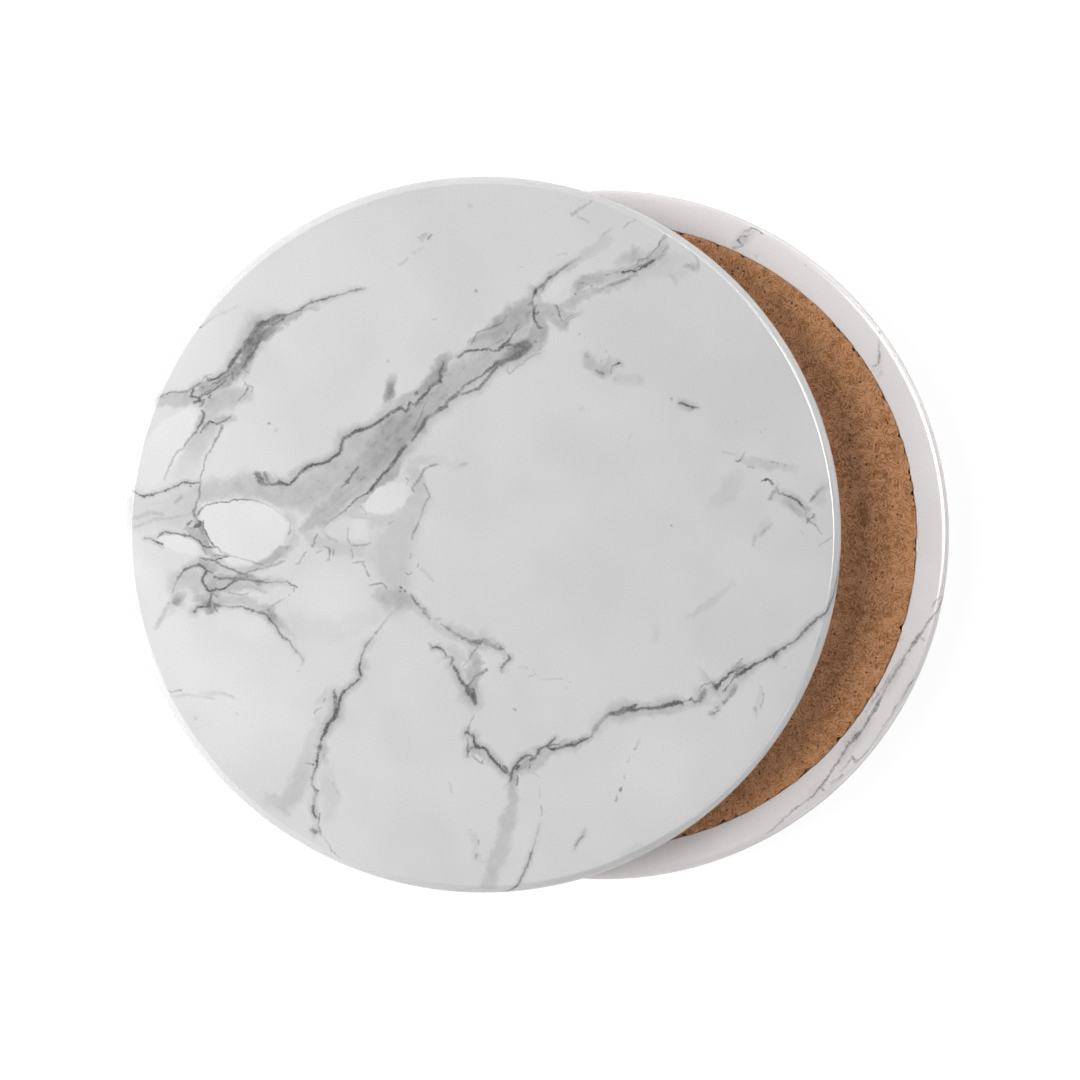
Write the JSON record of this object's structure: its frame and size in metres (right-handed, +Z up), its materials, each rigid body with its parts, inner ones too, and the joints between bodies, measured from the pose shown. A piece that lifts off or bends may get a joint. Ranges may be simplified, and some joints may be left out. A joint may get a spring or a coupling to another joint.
{
  "type": "drink coaster",
  "caption": "Round ceramic drink coasters with a marbled glazed face and a cork pad set in the underside, lying as a loose overlapping pair, one face up and one turned over.",
  "frame": {"origin": "on the table under the middle of the pair, halfway between the axes of the two coasters", "axes": "+Z up from the table, +X from the upper coaster's axis towards the lower coaster's axis, +Y away from someone who sees the upper coaster on the left"},
  "size_m": [0.1172, 0.1, 0.018],
  "materials": {
    "marbled_glaze": "satin",
    "cork": "matte",
    "glue": "satin"
  },
  "bodies": {
    "lower_coaster": {"lower_tile": "marbled_glaze", "lower_glue_sheet": "glue", "lower_cork_pad": "cork"},
    "upper_coaster": {"upper_tile": "marbled_glaze", "upper_glue_sheet": "glue", "upper_cork_pad": "cork"}
  },
  "joints": [
    {"name": "upper_coaster_lift", "type": "slide", "parent": "lower_coaster", "child": "upper_coaster", "axis": [0, 0, 1], "range_m": [0, 0.04]}
  ]
}
